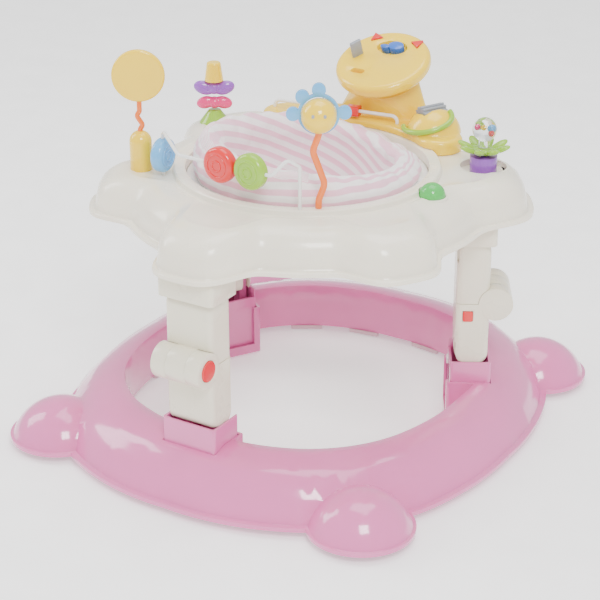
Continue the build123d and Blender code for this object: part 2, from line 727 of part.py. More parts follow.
def roller(side):
    """Ribbed roller lying in its console slot."""
    base = roller_plane(side)
    with BuildPart() as part:
        with BuildSketch(Plane(origin=base.origin, x_dir=(0, 0, 1), z_dir=base.x_dir)):
            Circle(9.5)
            with PolarLocations(10, 10):
                Circle(2)
        extrude(amount=20, both=True)
    return part.part


def console_swoosh():
    """Lime trim strip that sweeps up the console's right lobe."""
    with BuildLine() as path:
        Spline(*SWOOSH_PATH)
    with BuildPart() as trim:
        with BuildSketch(Plane(origin=path.line @ 0, z_dir=path.line % 0)):
            Circle(4)
        sweep(path=path.line)
    return trim.part


def play_bar():
    """White bar standing on the console's near edge."""
    with BuildPart() as bar:
        with BuildLine():
            FilletPolyline(BAR_LEFT, (*BAR_LEFT[:2], BAR_Z), (*BAR_RIGHT[:2], BAR_Z), BAR_RIGHT, radius=9)
        with BuildSketch(Plane(origin=BAR_LEFT)):
            Circle(BAR_RADIUS)
        sweep()
    return bar.part


def bar_bead():
    """Cube bead on the play bar."""
    left, right = Vector(*BAR_LEFT[:2], BAR_Z), Vector(*BAR_RIGHT[:2], BAR_Z)
    along = (right - left).normalized()
    with BuildPart() as bead:
        with BuildSketch(Plane(origin=left + (right - left) * BAR_BEAD_SHARE, z_dir=along)):
            RectangleRounded(15, 15, 3)
            Circle(BAR_RADIUS + RUN_GAP, mode=Mode.SUBTRACT)
        extrude(amount=9, both=True)
    return bead.part


def steering_wheel():
    """Dished wheel with a hub, a finger slot, a window and button pockets."""
    with BuildPart() as wheel:
        with BuildSketch(wheel_plane(-8)):
            Circle(WHEEL_RADIUS)
        extrude(amount=20)
        fillet(wheel.edges(), radius=8)
        with BuildSketch(wheel_plane(-12)):
            with Locations(WHEEL_SLOT_AT):
                SlotOverall(22, 10)
        extrude(amount=40, mode=Mode.SUBTRACT)
        with BuildSketch(wheel_plane(4)):
            with Locations(WINDOW_AT):
                Ellipse(24, 16)
        extrude(amount=20, mode=Mode.SUBTRACT)
        with BuildSketch(wheel_plane(-24)):
            Circle(9)
        extrude(amount=18)
        for side in (-1, 1):
            with BuildSketch(wheel_plane(HORN_FLOOR)):
                with Locations((side * HORN_X, HORN_Y)):
                    RegularPolygon(11.4, 3, rotation=90 - side * 35)
            extrude(amount=20, mode=Mode.SUBTRACT)
    return wheel.part


def horn_buttons():
    """Two triangular buttons in the wheel's face."""
    with BuildPart() as buttons:
        for side in (-1, 1):
            with BuildSketch(wheel_plane(HORN_FLOOR + 3.5)):
                with Locations((side * HORN_X, HORN_Y)):
                    RegularPolygon(10.4, 3, rotation=90 - side * 35)
            extrude(amount=10)
    return buttons.part


def wheel_bird():
    """Bird figure standing in the wheel's window."""
    with BuildPart() as bird:
        with BuildSketch(wheel_plane(4)):
            with Locations((7, 31)):
                Ellipse(12, 9)
            with Locations((-9, 26)):
                Ellipse(7, 4)
        extrude(amount=12)
    return bird.part


def wheel_mirror():
    """Grey mirror tab standing on the wheel's left side."""
    with BuildPart() as mirror:
        with BuildSketch(wheel_plane(12)):
            with Locations((-41, 0)):
                SlotOverall(18, 5, rotation=60)
        extrude(amount=24)
    return mirror.part


# ---- toys ---------------------------------------------------------------
WIRE_FOOT_LEFT = (-153.5, -126.6, TRAY_TOP)
WIRE_BEND_LEFT = (-153.5, -126.6, 439)
WIRE_LOW = (-95, -172, 427)
WIRE_HIGH = (60, -184, 431)
WIRE_PEAK = (76, -171, 452)
WIRE_BEND_RIGHT = (86, -157, 440)
WIRE_FOOT_RIGHT = (86, -157, TRAY_RIM)


def bead_wire():
    path = (WIRE_FOOT_LEFT, WIRE_BEND_LEFT, WIRE_LOW, WIRE_HIGH, WIRE_PEAK, WIRE_BEND_RIGHT, WIRE_FOOT_RIGHT)
    with BuildPart() as wire:
        with BuildLine():
            FilletPolyline(*path, radius=(10, 22, 8, 7, 5))
        with BuildSketch(Plane(origin=WIRE_FOOT_LEFT)):
            Circle(WIRE_RADIUS)
        sweep()
    return wire.part


def bead(centre, along, radius, width):
    """Flat round bead with the wire through its diameter."""
    run = Vector(*along).normalized()
    face = Vector(*polar(1, BEAD_BLUE_FACING), 0)
    if abs(run.Z) < 0.9:
        face = run.cross(Vector(0, 0, 1)).normalized()
    with BuildPart() as part:
        with BuildSketch(Plane(origin=centre, x_dir=run, z_dir=face)):
            Circle(radius)
        extrude(amount=width / 2, both=True)
        fillet(part.edges(), radius=width * 0.35)
        with BuildSketch(Plane(origin=centre, z_dir=run)):
            Circle(WIRE_RADIUS + RUN_GAP)
        extrude(amount=2 * radius, both=True, mode=Mode.SUBTRACT)
    return part.part


def on_run(share):
    """Point along the wire's long straight run."""
    return tuple(low + share * (high - low) for low, high in zip(WIRE_LOW, WIRE_HIGH))


def wavy_stem(place, low, top, lead, radius, sway):
    """Stem that waves in the toy's plane between two straight ends."""
    c, s = polar(1, PADDLE_FACING)
    step = (top - low - 2 * lead) / 4
    shape = ((0, low), (0, low + lead), (sway, low + lead + step), (-sway, top - lead - step),
             (0, top - lead), (0, top))
    points = [(place[0] + out * c, place[1] + out * s, z) for out, z in shape]
    with BuildPart() as stem:
        with BuildLine():
            FilletPolyline(*points, radius=step * 0.8)
        with BuildSketch(Plane.XY.offset(low)):
            with Locations(place):
                Circle(radius)
        sweep()
    return stem.part


def paddle_plane():
    a = radians(PADDLE_FACING)
    return Plane(origin=(PADDLE_AT[0], PADDLE_AT[1], 508), x_dir=(cos(a), sin(a), 0), z_dir=(sin(a), -cos(a), 0))


def paddle_disc():
    with BuildPart() as disc:
        with BuildSketch(paddle_plane()):
            Circle(36.5)
        extrude(amount=5, both=True)
        fillet(disc.edges(), radius=3.5)
        with BuildSketch(Plane(origin=(*PADDLE_AT, 466))):
            Circle(3.5 + RUN_GAP)
        extrude(amount=12, mode=Mode.SUBTRACT)
    return disc.part


def paddle_base():
    cap = dome(*PADDLE_AT, 15.5, TRAY_TOP + 40, TRAY_TOP + 56)
    with BuildPart() as base:
        with BuildSketch(Plane.XY.offset(TRAY_TOP)):
            with Locations(PADDLE_AT):
                Circle(15.5)
        extrude(amount=40)
        add(cap)
        with BuildSketch(Plane.XY.offset(TRAY_TOP + 38)):
            with Locations(PADDLE_AT):
                Circle(3.5)
        extrude(amount=20, mode=Mode.SUBTRACT)
    return base.part


def head_ball():
    x, y = HEAD_AT
    with BuildPart() as ball:
        with BuildSketch(Plane(origin=(x, y, 507), x_dir=(1, 0, 0), z_dir=(0, -1, 0))):
            with BuildLine():
                CenterArc((0, 0), 23, -90, 180)
                Line((0, 23), (0, -23))
            make_face()
        revolve(axis=Axis((x, y, 507), (0, 0, 1)))
        with BuildSketch(Plane.XY.offset(480)):
            with Locations(HEAD_AT):
                Circle(4.5 + RUN_GAP)
        extrude(amount=14, mode=Mode.SUBTRACT)
    return ball.part


def head_petals():
    """Coloured ear petals round the head, joined by a ring behind it."""
    a = radians(PADDLE_FACING)
    x, y = HEAD_AT
    back = Plane(origin=(x - 9 * sin(a), y + 9 * cos(a), 507), x_dir=(cos(a), sin(a), 0), z_dir=(sin(a), -cos(a), 0))
    with BuildPart() as petals:
        with BuildSketch(back):
            Circle(27)
            with Locations((0, 32), (-33, 0), (33, 2), (-21, 23)):
                Circle(9)
            Circle(23.1, mode=Mode.SUBTRACT)
        extrude(amount=3, both=True)
    return petals.part


def butterfly_base():
    with BuildPart() as base:
        with BuildSketch(Plane.XY.offset(TRAY_TOP + 0.4)):
            with Locations(BUTTERFLY_AT):
                Circle(23)
        with BuildSketch(Plane.XY.offset(TRAY_TOP + 19)):
            with Locations(BUTTERFLY_AT):
                Circle(9)
        loft()
        with BuildSketch(Plane.XY.offset(TRAY_TOP - 8)):
            with Locations(BUTTERFLY_AT):
                Circle(6)
        extrude(amount=9)
    return base.part


def butterfly_wings(low, height, span, lobe):
    """A pair of rounded wings side by side, facing the rear right."""
    a = radians(PADDLE_FACING)
    x, y = BUTTERFLY_AT
    with BuildPart() as wings:
        with BuildSketch(Plane(origin=(x, y, low + height / 2), x_dir=(cos(a), sin(a), 0), z_dir=(sin(a), -cos(a), 0))):
            with Locations((-span, 0), (span, 0)):
                Circle(lobe)
            Rectangle(2 * span, height * 0.8)
        extrude(amount=5, both=True)
        split(bisect_by=Plane.XY.offset(low), keep=Keep.TOP)
        split(bisect_by=Plane.XY.offset(low + height), keep=Keep.BOTTOM)
    return wings.part


def butterfly_bud():
    with BuildPart() as bud:
        with BuildSketch(Plane.XY.offset(438)):
            with Locations(BUTTERFLY_AT):
                Circle(14)
        with BuildSketch(Plane.XY.offset(466)):
            with Locations(BUTTERFLY_AT):
                Circle(10)
        loft()
        fillet(bud.faces().sort_by(Axis.Z)[-1].edges(), radius=3)
    return bud.part


def flower_post():
    with BuildPart() as post:
        with BuildSketch(Plane.XY.offset(TRAY_TOP - 7.6)):
            with Locations(FLOWER_AT):
                Circle(19)
        extrude(amount=23)
        with BuildSketch(Plane.XY.offset(TRAY_TOP - 19)):
            with Locations(FLOWER_AT):
                Circle(6)
        extrude(amount=12)
    return post.part


def flower_petals():
    with BuildPart() as petals:
        with BuildSketch(Plane.XY.offset(TRAY_TOP + 15.4)):
            with Locations(FLOWER_AT):
                Circle(28)
                with PolarLocations(29, 8):
                    Circle(10)
        extrude(amount=36)
        with BuildSketch(Plane.XY.offset(TRAY_TOP + 20)):
            with Locations(FLOWER_AT):
                Circle(25)
        extrude(amount=60, mode=Mode.SUBTRACT)
    return petals.part


def flower_ball():
    x, y = FLOWER_AT
    with BuildPart() as ball:
        with BuildSketch(Plane(origin=(x, y, TRAY_TOP + 53), x_dir=(1, 0, 0), z_dir=(0, -1, 0))):
            with BuildLine():
                CenterArc((0, 0), 17, -90, 180)
                Line((0, 17), (0, -17))
            make_face()
        revolve(axis=Axis((x, y, 0), (0, 0, 1)))
        with BuildSketch(Plane.XY.offset(TRAY_TOP + 20)):
            with Locations(FLOWER_AT):
                Circle(8)
        extrude(amount=20)
    return ball.part


def dome_button():
    cap = dome(*DOME_AT, 18, TRAY_TOP + 1, TRAY_TOP + 18)
    with BuildPart() as button:
        with BuildSketch(Plane.XY.offset(TRAY_TOP - 4)):
            with Locations(DOME_AT):
                Circle(18)
        extrude(amount=5)
        add(cap)
    return button.part


# ---- build every piece --------------------------------------------------
def build_all():
    save(base_ring(), "base_ring")
    save(stopper_pads(), "stopper_pads")
    corners = {"rear_right": (1, -1), "rear_left": (-1, -1), "front_right": (1, 1), "front_left": (-1, 1)}
    for corner, (sx, sy) in corners.items():
        save(caster_fork(sx * LOBE_X, sy * LOBE_Y), "caster_fork_" + corner)
        save(caster_wheel(sx * LOBE_X, sy * LOBE_Y), "caster_wheel_" + corner)
    for name, angle in LEG_ANGLES.items():
        save(leg_socket(angle), "leg_socket_" + name)
        save(height_pin(angle), "height_pin_" + name)
        save(lower_leg(name, angle), "lower_leg_" + name)
        save(upper_leg(angle), "upper_leg_" + name)
        save(leg_pins(angle), "leg_pins_" + name)
        save(lock_button(name, angle), "lock_button_" + name)
    save(top_brackets(), "top_brackets")
    save(tray(), "tray")
    save(seat_ring(), "seat_ring")
    save(seat_cloth(), "seat_cloth")
    save(console(), "console")
    save(console_swoosh(), "console_swoosh")
    save(roller(1), "roller_right")
    save(roller(-1), "roller_left")
    save(play_bar(), "play_bar")
    save(bar_bead(), "bar_bead")
    save(steering_wheel(), "steering_wheel")
    save(horn_buttons(), "horn_buttons")
    save(wheel_bird(), "wheel_bird")
    save(wheel_mirror(), "wheel_mirror")
    save(bead_wire(), "bead_wire")
    run = tuple(high - low for low, high in zip(WIRE_LOW, WIRE_HIGH))
    save(bead((WIRE_FOOT_LEFT[0], WIRE_FOOT_LEFT[1], BEAD_BLUE_Z), (0, 0, 1), 23.8, 18), "bead_blue")
    save(bead(on_run(0.46), run, 24.4, 18), "bead_red")
    save(bead(on_run(0.785), run, 24.4, 18), "bead_green")
    save(paddle_disc(), "paddle_disc")
    save(wavy_stem(PADDLE_AT, TRAY_TOP + 38, 477, 19.5, 3.5, 4), "paddle_stem")
    save(paddle_base(), "paddle_base")
    save(head_ball(), "head_ball")
    save(head_petals(), "head_petals")
    save(wavy_stem(HEAD_AT, TRAY_RIM, 493, 11, 4.5, 8), "head_stem")
    save(butterfly_base(), "butterfly_base")
    save(butterfly_wings(393, 22, 17, 12), "butterfly_wings_pink")
    save(butterfly_wings(415, 23, 20, 13.5), "butterfly_wings_purple")
    save(butterfly_bud(), "butterfly_bud")
    save(flower_post(), "flower_post")
    save(flower_petals(), "flower_petals")
    save(flower_ball(), "flower_ball")
    save(dome_button(), "dome_button")


os.makedirs("parts", exist_ok=True)
build_all()
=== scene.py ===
import json
from math import atan2, cos, degrees, exp, hypot, pi, radians, sin

import bmesh
import bpy
from mathutils import Matrix, Vector, noise


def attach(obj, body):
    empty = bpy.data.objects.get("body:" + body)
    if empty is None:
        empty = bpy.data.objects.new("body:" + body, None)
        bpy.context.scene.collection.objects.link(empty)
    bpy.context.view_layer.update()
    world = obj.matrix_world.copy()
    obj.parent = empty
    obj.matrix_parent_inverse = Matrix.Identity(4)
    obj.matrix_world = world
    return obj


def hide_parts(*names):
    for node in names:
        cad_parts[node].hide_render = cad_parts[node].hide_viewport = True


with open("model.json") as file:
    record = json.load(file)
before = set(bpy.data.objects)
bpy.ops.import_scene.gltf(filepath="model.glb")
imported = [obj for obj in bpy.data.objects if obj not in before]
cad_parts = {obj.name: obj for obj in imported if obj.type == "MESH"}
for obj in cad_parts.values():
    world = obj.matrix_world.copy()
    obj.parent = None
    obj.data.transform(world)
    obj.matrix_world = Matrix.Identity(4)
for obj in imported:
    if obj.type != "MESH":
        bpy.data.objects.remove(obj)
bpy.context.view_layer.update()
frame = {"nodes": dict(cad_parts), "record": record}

MM = 0.001


# ---- materials -----------------------------------------------------------
PLASTIC_IOR = 1.46
FINE_GRAIN = 900.0           # noise scale of the surface bumps
BROAD_PATCHES = 14.0         # noise scale of the colour and roughness changes
def new_material(name, color, rough, coat=0.0, transmission=0.0, subsurface=0.0, metallic=0.0):
    """A principled material with small bumps, roughness change and faint colour change."""
    mat = bpy.data.materials.new(name)
    mat.use_nodes = True
    tree = mat.node_tree
    shader = tree.nodes["Principled BSDF"]
    shader.inputs["Metallic"].default_value = metallic
    shader.inputs["IOR"].default_value = PLASTIC_IOR
    shader.inputs["Coat Weight"].default_value = coat
    shader.inputs["Coat Roughness"].default_value = 0.08
    shader.inputs["Transmission Weight"].default_value = transmission
    shader.inputs["Subsurface Weight"].default_value = subsurface
    shader.inputs["Subsurface Radius"].default_value = (0.01, 0.006, 0.005)
    shader.inputs["Subsurface Scale"].default_value = 0.3
    coords = tree.nodes.new("ShaderNodeTexCoord")
    fine = tree.nodes.new("ShaderNodeTexNoise")
    fine.inputs["Scale"].default_value = FINE_GRAIN
    fine.inputs["Detail"].default_value = 3.0
    broad = tree.nodes.new("ShaderNodeTexNoise")
    broad.inputs["Scale"].default_value = BROAD_PATCHES
    broad.inputs["Detail"].default_value = 4.0
    tree.links.new(coords.outputs["Object"], fine.inputs["Vector"])
    tree.links.new(coords.outputs["Object"], broad.inputs["Vector"])
    tint = tree.nodes.new("ShaderNodeMixRGB")
    tint.inputs["Color1"].default_value = (*[c * 0.93 for c in color], 1)
    tint.inputs["Color2"].default_value = (*[min(1, c * 1.04) for c in color], 1)
    tree.links.new(broad.outputs["Fac"], tint.inputs["Fac"])
    tree.links.new(tint.outputs["Color"], shader.inputs["Base Color"])
    spread = tree.nodes.new("ShaderNodeMapRange")
    spread.inputs["From Min"].default_value = 0.3
    spread.inputs["From Max"].default_value = 0.7
    spread.inputs["To Min"].default_value = rough * 0.8
    spread.inputs["To Max"].default_value = rough * 1.25
    tree.links.new(broad.outputs["Fac"], spread.inputs["Value"])
    tree.links.new(spread.outputs["Result"], shader.inputs["Roughness"])
    bump = tree.nodes.new("ShaderNodeBump")
    bump.inputs["Strength"].default_value = 0.06
    bump.inputs["Distance"].default_value = 0.0002
    tree.links.new(fine.outputs["Fac"], bump.inputs["Height"])
    tree.links.new(bump.outputs["Normal"], shader.inputs["Normal"])
    return mat


def cloth_material():
    """Pink and white woven stripes, one pink and one white band to each whole step of "stripe"."""
    mat = new_material("striped_cloth", (0.9, 0.4, 0.6), 0.85)
    tree = mat.node_tree
    shader = tree.nodes["Principled BSDF"]
    stripe = tree.nodes.new("ShaderNodeAttribute")
    stripe.attribute_name = "stripe"
    ramp = tree.nodes.new("ShaderNodeValToRGB")
    stops = ((0.0, (0.90, 0.50, 0.62)), (0.40, (0.91, 0.53, 0.65)), (0.47, (0.94, 0.88, 0.88)),
             (0.93, (0.95, 0.90, 0.90)), (1.0, (0.90, 0.50, 0.62)))
    ramp.color_ramp.elements[0].position = stops[0][0]
    ramp.color_ramp.elements[0].color = (*stops[0][1], 1)
    ramp.color_ramp.elements[1].position = stops[-1][0]
    ramp.color_ramp.elements[1].color = (*stops[-1][1], 1)
    for place, color in stops[1:-1]:
        element = ramp.color_ramp.elements.new(place)
        element.color = (*color, 1)
    share = tree.nodes.new("ShaderNodeMath")
    share.operation = "FRACT"
    tree.links.new(stripe.outputs["Fac"], share.inputs[0])
    tree.links.new(share.outputs["Value"], ramp.inputs["Fac"])
    tree.links.new(ramp.outputs["Color"], shader.inputs["Base Color"])
    weave = tree.nodes.new("ShaderNodeTexWave")
    weave.inputs["Scale"].default_value = 700.0
    coords = tree.nodes["Texture Coordinate"]
    tree.links.new(coords.outputs["Object"], weave.inputs["Vector"])
    bump = tree.nodes["Bump"]
    bump.inputs["Strength"].default_value = 0.35
    bump.inputs["Distance"].default_value = 0.0004
    tree.links.new(weave.outputs["Fac"], bump.inputs["Height"])
    shader.inputs["Sheen Weight"].default_value = 0.4
    return mat


MATERIALS = {
    "pink_base": new_material("pink_base", (0.76, 0.17, 0.42), 0.18, coat=0.8, subsurface=0.08),
    "pad": new_material("pad", (0.86, 0.62, 0.68), 0.4, transmission=0.3),
    "caster_frame": new_material("caster_frame", (0.62, 0.60, 0.60), 0.4),
    "caster_tread": new_material("caster_tread", (0.10, 0.10, 0.11), 0.55),
    "white": new_material("white", (0.86, 0.86, 0.84), 0.25, coat=0.3),
    "cream": new_material("cream", (0.83, 0.78, 0.62), 0.28, coat=0.3, subsurface=0.05),
    "ivory": new_material("ivory", (0.90, 0.84, 0.70), 0.24, coat=0.4, subsurface=0.05),
    "steel": new_material("steel", (0.6, 0.6, 0.6), 0.3, metallic=1.0),
    "red": new_material("red", (0.75, 0.015, 0.015), 0.2, coat=0.5),
    "cloth": cloth_material(),
    "yellow": new_material("yellow", (0.98, 0.64, 0.01), 0.2, coat=0.5, subsurface=0.05),
    "lime": new_material("lime", (0.28, 0.52, 0.02), 0.22, coat=0.5),
    "grey": new_material("grey", (0.30, 0.32, 0.35), 0.35),
    "blue": new_material("blue", (0.02, 0.13, 0.55), 0.2, coat=0.5),
    "light_blue": new_material("light_blue", (0.12, 0.42, 0.78), 0.2, coat=0.5),
    "orange": new_material("orange", (0.90, 0.17, 0.005), 0.22, coat=0.5),
    "purple": new_material("purple", (0.30, 0.08, 0.52), 0.22, coat=0.5),
    "hot_pink": new_material("hot_pink", (0.82, 0.03, 0.20), 0.22, coat=0.5),
    "clear": new_material("clear", (0.95, 0.97, 1.0), 0.05, transmission=1.0),
    "green_clear": new_material("green_clear", (0.10, 0.66, 0.13), 0.08, transmission=0.35),
}

for entry in frame["record"]["subparts"]:
    node = frame["nodes"][entry["node"]]
    node.data.materials.clear()
    node.data.materials.append(MATERIALS[entry["material_slot"]])


def smooth(obj, angle=35):
    for face in obj.data.polygons:
        face.use_smooth = True
    obj.data.set_sharp_from_angle(angle=radians(angle))


for node in frame["nodes"].values():
    smooth(node)


# ---- mesh helpers --------------------------------------------------------
def soften_edges(obj, width):
    """Round the sharp edges of a CAD node with modifiers only."""
    weld = obj.modifiers.new("weld", "WELD")
    weld.merge_threshold = 0.00001
    bevel = obj.modifiers.new("bevel", "BEVEL")
    bevel.width = width
    bevel.segments = 2
    bevel.limit_method = "ANGLE"
    bevel.angle_limit = radians(40)
    bevel.harden_normals = True


def grid_mesh(name, rows, material):
    """Mesh from rings of points in millimetres, closed round and along."""
    count = len(rows[0])
    points = [Vector(point) * MM for row in rows for point in row]
    faces = []
    for r in range(len(rows)):
        after = (r + 1) % len(rows)
        for c in range(count):
            nxt = (c + 1) % count
            faces.append((r * count + c, r * count + nxt, after * count + nxt, after * count + c))
    mesh = bpy.data.meshes.new(name)
    mesh.from_pydata(points, [], faces)
    mesh.materials.append(material)
    obj = bpy.data.objects.new(name, mesh)
    bpy.context.scene.collection.objects.link(obj)
    face_outward(obj)
    return obj


def face_outward(obj):
    work = bmesh.new()
    work.from_mesh(obj.data)
    bmesh.ops.recalc_face_normals(work, faces=work.faces)
    work.to_mesh(obj.data)
    work.free()


def lathe(name, profile, centre, material, count=48):
    """Closed ring turned from a profile of (radius, height) in millimetres."""
    rows = []
    for radius, z in profile:
        row = []
        for step in range(count):
            angle = 2 * pi * step / count
            row.append((centre[0] + radius * cos(angle), centre[1] + radius * sin(angle), z))
        rows.append(row)
    return grid_mesh(name, rows, material)


def apply_modifiers(obj):
    """Bake an object's modifiers into its mesh."""
    bpy.context.view_layer.update()
    graph = bpy.context.evaluated_depsgraph_get()
    mesh = bpy.data.meshes.new_from_object(obj.evaluated_get(graph))
    obj.modifiers.clear()
    obj.data = mesh


def cut_away(obj, tool):
    """Cut tool out of obj, and remove tool."""
    boolean = obj.modifiers.new("cut", "BOOLEAN")
    boolean.operation = "DIFFERENCE"
    boolean.object = tool
    apply_modifiers(obj)
    bpy.data.objects.remove(tool)


def join_into(obj, others):
    """Add the meshes of others to obj."""
    work = bmesh.new()
    work.from_mesh(obj.data)
    for other in others:
        work.from_mesh(other.data)
    work.to_mesh(obj.data)
    work.free()
    for other in others:
        bpy.data.objects.remove(other)


def rod(name, centre, radius, low, high, material, count=64):
    """Upright cylinder in millimetres, used as a cutting tool."""
    work = bmesh.new()
    bmesh.ops.create_cone(work, cap_ends=True, segments=count, radius1=radius * MM, radius2=radius * MM,
                          depth=(high - low) * MM)
    middle = Vector((centre[0], centre[1], (low + high) / 2)) * MM
    bmesh.ops.translate(work, verts=work.verts, vec=middle)
    mesh = bpy.data.meshes.new(name)
    work.to_mesh(mesh)
    work.free()
    mesh.materials.append(material)
    obj = bpy.data.objects.new(name, mesh)
    bpy.context.scene.collection.objects.link(obj)
    return obj


RESHAPED = ("tray", "seat_cloth", "console")    # replaced below by made pieces
LEG_EDGE = 0.0008
SMALL_EDGE = 0.0005
for node_name, node in frame["nodes"].items():
    if node_name not in RESHAPED:
        is_leg = node_name.startswith(("leg", "lower", "upper"))
        soften_edges(node, LEG_EDGE if is_leg else SMALL_EDGE)


# ---- tray ----------------------------------------------------------------
TRAY_RADIUS = 256.0
TRAY_LOBES = (               # angle, reach, half width in degrees
    (270, 62, 13), (328, 48, 13), (212, 48, 13), (32, 59, 18), (148, 59, 18), (90, 40, 28))
OUTER_LEAST = 190.5          # the top skin stops outside the mouth
UNDER_LEAST = 176.0          # the lower skin stops outside the ledge
FLOWER_AT = (203.0, 137.0)
DOME_AT = (198.0, -4.0)
FLOWER_HOLE = 32.5
DOME_HOLE = 18.6
CUP_FLOOR = 366
CUT_TOP = 395
# pairs of (inset or radius, height), in millimetres
TRAY_SIDE = ((0, 318), (0, 323), (1.5, 324.2), (7, 324.6), (9, 327), (10.5, 338), (13.5, 350), (19, 359),
             (27, 366), (37, 371), (46, 373.4), (52, 374), (56, 374.9), (60, 375.3), (64, 374.9), (68, 374))
TRAY_MOUTH = ((190, 374), (187, 374.6), (185.6, 377), (185.3, 380.4), (183.6, 382), (171.5, 382), (169, 381),
              (168.5, 378.5), (168.5, 346.4), (158.2, 346.4), (158.2, 340.2), (172.5, 340.2), (172.5, 368))
TRAY_UNDER = ((54, 370.3), (36, 364), (22, 356), (16.5, 346), (12.5, 330), (11.5, 318))


def tray_radius(angle, inset):
    """Outline of the scalloped tray, moved in by inset millimetres."""
    radius = TRAY_RADIUS - inset
    for at, out, width in TRAY_LOBES:
        away = (angle - at + 180) % 360 - 180
        radius += out * exp(-((away / width) ** 4))
    return radius


def ring_row(count, radius_of, z):
    """One level ring about the middle, its radius a function of the angle in degrees."""
    row = []
    for step in range(count):
        angle = 360.0 * step / count
        radius = radius_of(angle)
        row.append((radius * cos(radians(angle)), radius * sin(radians(angle)), z))
    return row


def make_tray(count=360):
    """Scalloped tray with its mouth, and a cup for the flower and one for the dome."""
    rows = []
    for inset, z in TRAY_SIDE:
        rows.append(ring_row(count, lambda a, i=inset: max(tray_radius(a, i), OUTER_LEAST), z))
    for radius, z in TRAY_MOUTH:
        rows.append(ring_row(count, lambda a, r=radius: r, z))
    for inset, z in TRAY_UNDER:
        rows.append(ring_row(count, lambda a, i=inset: max(tray_radius(a, i), UNDER_LEAST), z))
    ivory = MATERIALS["ivory"]
    tray = grid_mesh("tray_shell", rows, ivory)
    cut_away(tray, rod("cut_flower", FLOWER_AT, FLOWER_HOLE, CUP_FLOOR, CUT_TOP, ivory))
    cut_away(tray, rod("cut_dome", DOME_AT, DOME_HOLE, CUP_FLOOR, CUT_TOP, ivory))
    cups = []
    for name, place, radius, middle in (("cup_flower", FLOWER_AT, FLOWER_HOLE, 6.1),
                                        ("cup_dome", DOME_AT, DOME_HOLE, 16.0)):
        profile = ((radius, 373.9), (radius, CUP_FLOOR), (middle, CUP_FLOOR), (middle, 362),
                   (radius + 3, 362), (radius + 3, 373))
        cups.append(lathe(name, profile, place, ivory))
    join_into(tray, cups)
    smooth(tray, 40)
    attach(tray, "tray")
    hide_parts("tray")
    return tray


# ---- console -------------------------------------------------------------
CONSOLE_VOXEL = 0.0016


def make_console():
    """Moulded console: the CAD solid with its edges melted into soft curves."""
    source = frame["nodes"]["console"]
    console = bpy.data.objects.new("console_shell", source.data.copy())
    bpy.context.scene.collection.objects.link(console)
    melt = console.modifiers.new("melt", "REMESH")
    melt.mode = "VOXEL"
    melt.voxel_size = CONSOLE_VOXEL
    relax = console.modifiers.new("relax", "SMOOTH")
    relax.factor = 0.5
    relax.iterations = 14
    apply_modifiers(console)
    console.data.materials.clear()
    console.data.materials.append(MATERIALS["yellow"])
    for face in console.data.polygons:
        face.use_smooth = True
    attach(console, "tray")
    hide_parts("console")
    return console


# ---- seat ----------------------------------------------------------------
SEAT_PROFILE = ((150.5, 353), (150.5, 364), (153, 369), (157, 374), (158.5, 386), (157.5, 400), (152.5, 416),
                (147, 431), (141, 440), (134, 443), (129, 441), (124, 433), (121, 420), (120.5, 400), (122, 380),
                (119, 345), (111, 302), (97, 264), (60, 256), (20, 254), (20, 246), (60, 247), (101, 254),
                (118, 290), (131, 322), (138.5, 350))
SEAT_WRAP = -58.0            # where the inside's stripes join, in degrees
STRIPE = 17.0                # height of one pink and white pair of stripes
RIM = 368                    # height where the collar leaves the ring, in millimetres
COLLAR = 75.0                # height of the profile's collar above the rim
HELD_BELOW = 0.366           # cloth under this height is held by the ring, in metres
SEAT_VOXEL = 0.005
PRESSURE = 4.0
LAST_FRAME = 20
PUFF_CAP = 0.004
LEG_HOLES = ((43.8, -29.7), (-29.7, 43.8))


def seat_top(angle):
    """Height of the collar's crown: high at the rear left, low at the front right."""
    along = 150 * cos(radians(angle - 45))
    crown = 432.5 - 0.1317 * (along + 150)
    dip = ((angle - 62 + 180) % 360 - 180) / 20
    return crown - 7 * exp(-dip * dip)


def seat_point(angle, radius, z):
    """Point of the gathered seat, the folds growing up the collar."""
    top = seat_top(angle)
    lift = max(0.0, z - RIM) / COLLAR
    if z > RIM:
        z = RIM + (z - RIM) * (top - RIM) / COLLAR
    turn = radians(angle)
    fold = sin(27 * turn + 2.2 * sin(3 * turn) + 0.03 * z)
    crease = noise.noise(Vector((cos(turn) * 6, sin(turn) * 6, z / 22)))
    radius += min(1.0, lift * 1.6) * (2.0 * fold + 3.0 * crease)
    return (radius * cos(turn), radius * sin(turn), z + min(1.0, lift) * 1.2 * fold)


def dense_profile(profile, step=4.0):
    """The closed profile with points no more than about step millimetres apart."""
    points = []
    for (r0, z0), (r1, z1) in zip(profile, profile[1:] + profile[:1]):
        parts = max(1, round(hypot(r1 - r0, z1 - z0) / step))
        for k in range(parts):
            points.append((r0 + (r1 - r0) * k / parts, z0 + (z1 - z0) * k / parts))
    return points


